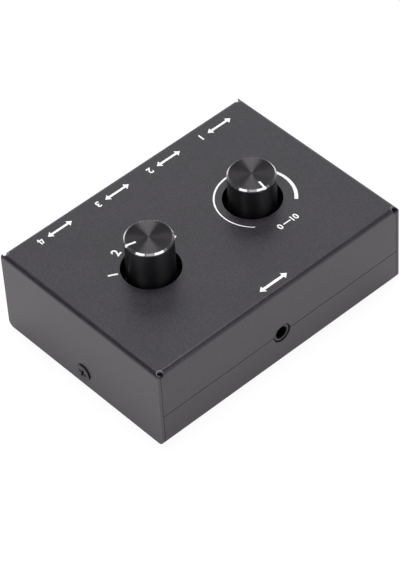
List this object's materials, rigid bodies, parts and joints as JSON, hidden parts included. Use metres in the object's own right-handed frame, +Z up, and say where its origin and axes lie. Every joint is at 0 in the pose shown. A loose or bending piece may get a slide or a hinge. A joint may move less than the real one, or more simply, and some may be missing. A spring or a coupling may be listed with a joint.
{
  "type": "audio source selector",
  "caption": "Desktop stereo source switch in a folded sheet-metal case, with a turning selector knob, a volume knob, and jacks at front and rear.",
  "frame": {"origin": "middle of the case in width and depth, on the surface under the rubber feet", "axes": "+X to the right along the front, +Y to the rear jacks, +Z up through the knobs"},
  "size_m": [0.0978, 0.0694, 0.044],
  "materials": {
    "coated_steel": "fine textured powder coat, satin",
    "black_steel": "black oxide",
    "rubber": "matte",
    "brass": "turned",
    "plated_steel": "zinc plated",
    "board": "solder mask",
    "jack_resin": "moulded",
    "contact_brass": "stamped",
    "carbon_track": "printed carbon",
    "rotor_resin": "moulded",
    "switch_base": "pressed laminate",
    "knob_plastic": "glossy",
    "knob_cap": "spun disc with a bright chamfer",
    "print": "white screen print"
  },
  "bodies": {
    "case": {"top_cover": "coated_steel", "bottom_cover": "coated_steel", "case_screws": "black_steel", "feet": "rubber", "board_standoffs": "brass", "board_screws": "plated_steel", "circuit_board": "board", "front_jack_housing": "jack_resin", "rear_jack_housing_1": "jack_resin", "rear_jack_housing_2": "jack_resin", "rear_jack_housing_3": "jack_resin", "rear_jack_housing_4": "jack_resin", "jack_sleeve_contacts": "contact_brass", "jack_ring_contacts": "contact_brass", "jack_tip_contacts": "contact_brass", "volume_frame": "plated_steel", "volume_upper_case": "jack_resin", "volume_lower_case": "jack_resin", "volume_tracks": "carbon_track", "volume_pins": "plated_steel", "selector_frame": "plated_steel", "selector_base": "switch_base", "selector_contacts": "contact_brass", "selector_commons": "contact_brass"},
    "volume_control": {"volume_shaft": "plated_steel", "volume_rotors": "rotor_resin", "volume_wipers": "contact_brass", "volume_knob_body": "knob_plastic", "volume_knob_cap": "knob_cap"},
    "selector_control": {"selector_shaft": "plated_steel", "selector_rotor": "rotor_resin", "selector_wipers": "contact_brass", "selector_detent_ball": "plated_steel", "selector_detent_spring": "plated_steel", "selector_knob_body": "knob_plastic", "selector_knob_cap": "knob_cap"}
  },
  "joints": [
    {"name": "volume_turn", "type": "hinge", "parent": "case", "child": "volume_control", "pos_m": [0.0205, -0.00095, 0], "axis": [0, 0, -1], "range_deg": [0, 300]},
    {"name": "selector_turn", "type": "hinge", "parent": "case", "child": "selector_control", "pos_m": [-0.0205, -0.00095, 0], "axis": [0, 0, -1], "range_deg": [0, 135]}
  ]
}
